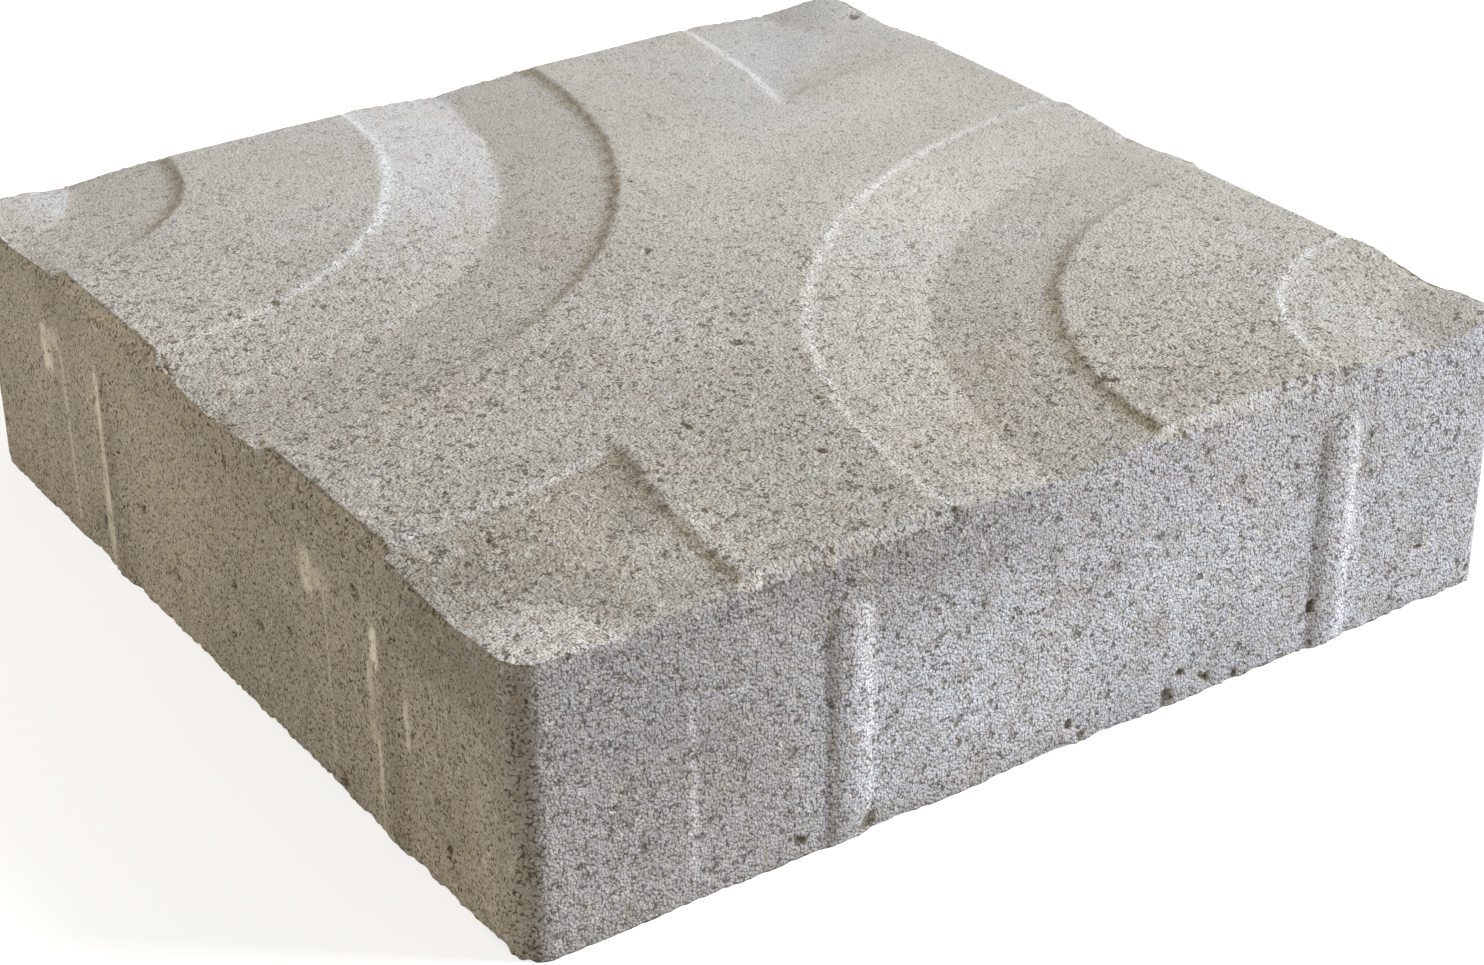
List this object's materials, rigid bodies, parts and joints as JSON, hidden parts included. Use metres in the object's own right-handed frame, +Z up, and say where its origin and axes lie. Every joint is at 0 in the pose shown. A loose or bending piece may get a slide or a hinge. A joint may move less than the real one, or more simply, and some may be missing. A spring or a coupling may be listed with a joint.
{
  "type": "concrete paving slab",
  "caption": "Square concrete paving slab with concentric wave valleys moulded into its top and shallow upright spacer ribs on its sides.",
  "frame": {"origin": "middle of the flat underside, on the ground", "axes": "+Z up, square to the underside; X and Y square to the upright sides, with the wave centres at the -X +Y and +X -Y corners"},
  "size_m": [0.302, 0.302, 0.08],
  "materials": {
    "concrete": "dry-cast concrete, matt, fine sandy grain with small open pits"
  },
  "bodies": {
    "root": {"slab": "concrete"}
  },
  "joints": []
}
